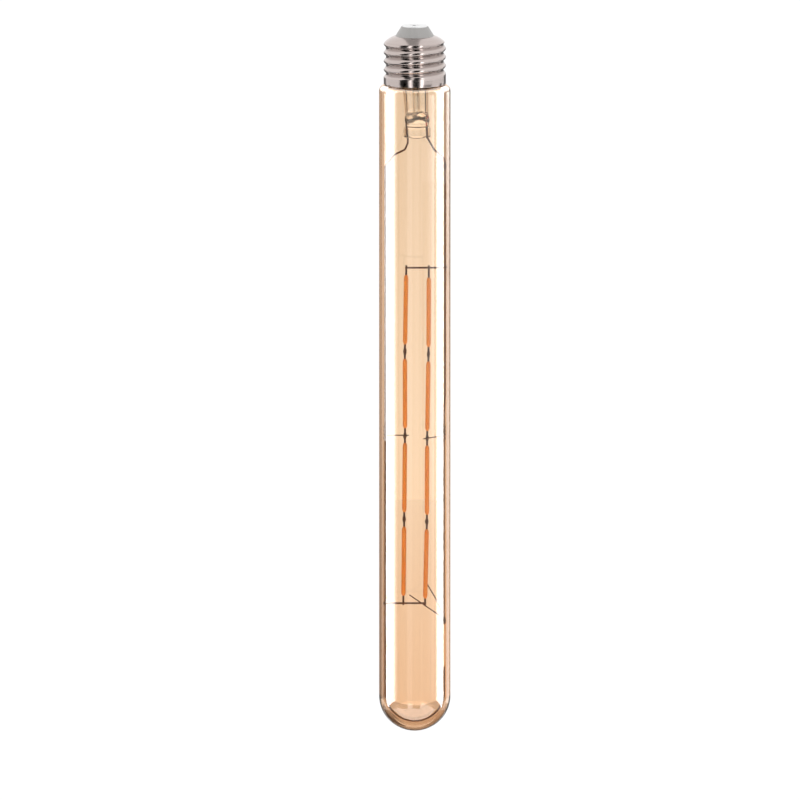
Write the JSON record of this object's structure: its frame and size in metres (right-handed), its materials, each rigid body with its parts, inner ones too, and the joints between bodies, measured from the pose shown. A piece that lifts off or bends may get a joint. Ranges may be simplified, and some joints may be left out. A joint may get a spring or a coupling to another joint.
{
  "type": "led filament bulb",
  "caption": "Long tubular amber glass lamp with a round end, LED filaments on a wire frame inside it and a rolled screw cap.",
  "frame": {"origin": "centre of the flat solder button on the contact, at the end of the screw cap", "axes": "+Z along the bulb's axis, out of the cap; the glass reaches down -Z; X across the filament frame, short wire at +X"},
  "size_m": [0.03, 0.03, 0.3],
  "materials": {
    "amber_glass": "clear amber tint, glossy",
    "clear_glass": "clear, glossy",
    "nickel_shell": "bright nickel plate on brass",
    "insulator": "grey moulded insulator, satin",
    "contact_metal": "tinned, satin",
    "solder": "bright solder",
    "cement": "baked capping cement, matt",
    "frame_wire": "dull drawn nickel wire",
    "seal_wire": "copper clad sealing wire",
    "filament_strip": "plated strip and pins",
    "phosphor": "orange phosphor silicone, unlit",
    "board": "glass fibre board with solder mask",
    "black_mould": "moulded component body",
    "capacitor_can": "sleeved aluminium can",
    "ferrite": "sintered ferrite",
    "copper_winding": "enamelled copper wire",
    "resistor_body": "flameproof lacquer"
  },
  "bodies": {
    "root": {"bottom_crossbar": "frame_wire", "bridge_rectifier": "black_mould", "cap_insulator": "insulator", "cap_shell": "nickel_shell", "capping_cement": "cement", "centre_contact": "contact_metal", "choke_core": "ferrite", "choke_winding": "copper_winding", "contact_lead": "seal_wire", "contact_solder": "solder", "driver_board": "board", "driver_chip": "black_mould", "exhaust_tube": "clear_glass", "filament_coat_left_1": "phosphor", "filament_coat_left_2": "phosphor", "filament_coat_left_3": "phosphor", "filament_coat_left_4": "phosphor", "filament_coat_right_1": "phosphor", "filament_coat_right_2": "phosphor", "filament_coat_right_3": "phosphor", "filament_coat_right_4": "phosphor", "filament_strip_left_1": "filament_strip", "filament_strip_left_2": "filament_strip", "filament_strip_left_3": "filament_strip", "filament_strip_left_4": "filament_strip", "filament_strip_right_1": "filament_strip", "filament_strip_right_2": "filament_strip", "filament_strip_right_3": "filament_strip", "filament_strip_right_4": "filament_strip", "fusible_resistor": "resistor_body", "glass_envelope": "amber_glass", "glass_stem": "clear_glass", "long_support_wire": "frame_wire", "right_lead_wire": "frame_wire", "shell_lead": "seal_wire", "short_support_wire": "frame_wire", "smoothing_capacitor": "capacitor_can", "steady_wire_long": "frame_wire", "steady_wire_short": "frame_wire", "stem_lead_left": "seal_wire", "stem_lead_right": "seal_wire", "tie_left": "frame_wire", "tie_right": "frame_wire", "top_crossbar": "frame_wire", "weld_bottom_bar": "frame_wire", "weld_right_lead": "frame_wire", "weld_steady_wires": "frame_wire", "weld_top_bar": "frame_wire"}
  },
  "joints": []
}
